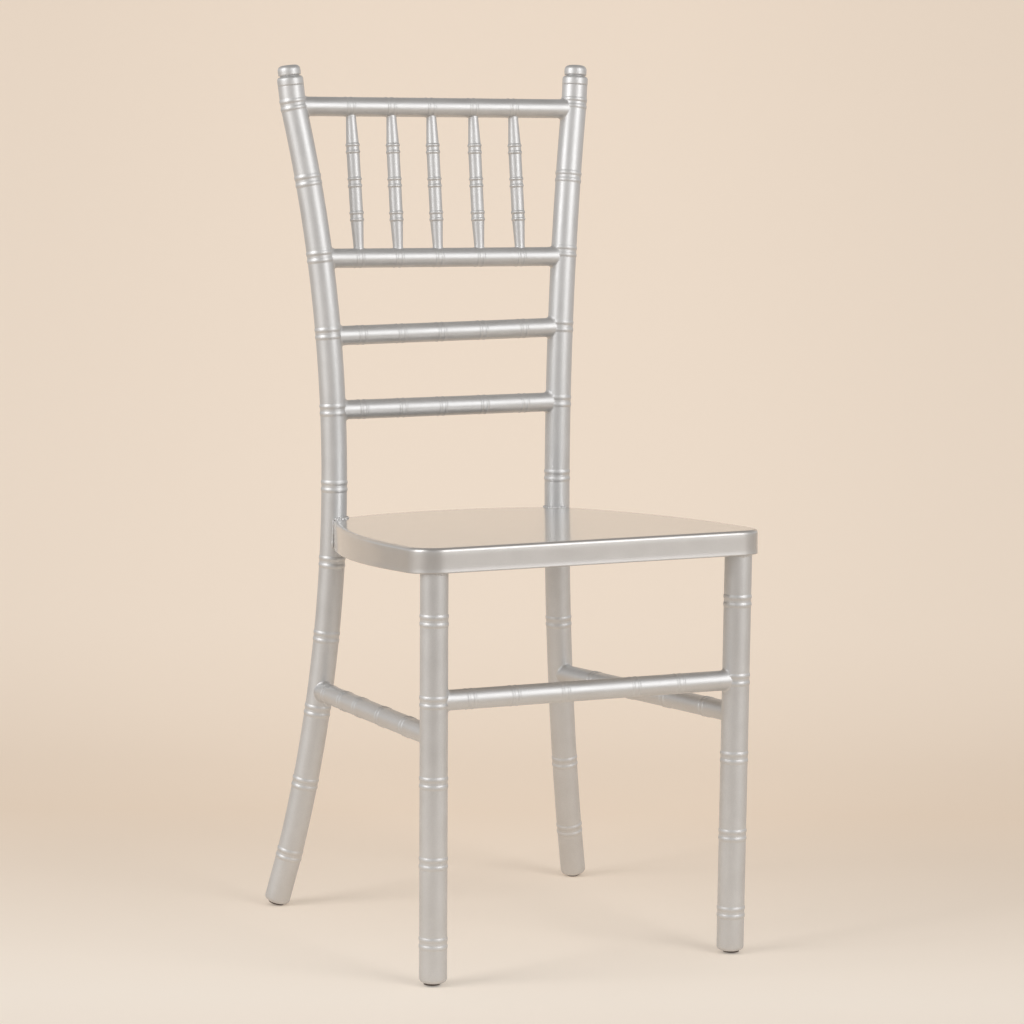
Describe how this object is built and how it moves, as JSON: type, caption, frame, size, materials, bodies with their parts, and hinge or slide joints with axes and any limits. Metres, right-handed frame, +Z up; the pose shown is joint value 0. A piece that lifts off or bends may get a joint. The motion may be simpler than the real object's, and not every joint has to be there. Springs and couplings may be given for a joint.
{
  "type": "chiavari chair",
  "caption": "Armless metal dining chair with bent rear posts, a spindled open back, round legs and stretchers and a flat pressed seat.",
  "frame": {"origin": "on the floor, in the middle of the chair's width and half way between its front and back", "axes": "+Z up, the chair faces -Y, +X to its left-hand side as seen by someone sitting in it"},
  "size_m": [0.398, 0.4228, 0.9216],
  "materials": {
    "frame_silver": "silver paint with a clear gloss coat",
    "seat_silver": "silver paint with a high gloss coat",
    "finial_silver": "silver paint with a clear gloss coat",
    "glide_plastic": "matt moulded"
  },
  "bodies": {
    "root": {"rear_post_left": "frame_silver", "rear_post_right": "frame_silver", "front_leg_left": "frame_silver", "front_leg_right": "frame_silver", "seat_pan": "seat_silver", "seat_brace_front": "frame_silver", "seat_brace_rear": "frame_silver", "top_rail": "frame_silver", "spindle_rail": "frame_silver", "middle_rail": "frame_silver", "lower_rail": "frame_silver", "spindle_1": "frame_silver", "spindle_2": "frame_silver", "spindle_3": "frame_silver", "spindle_4": "frame_silver", "spindle_5": "frame_silver", "front_stretcher": "frame_silver", "left_stretcher": "frame_silver", "right_stretcher": "frame_silver", "finials": "finial_silver", "foot_glides": "glide_plastic"}
  },
  "joints": []
}
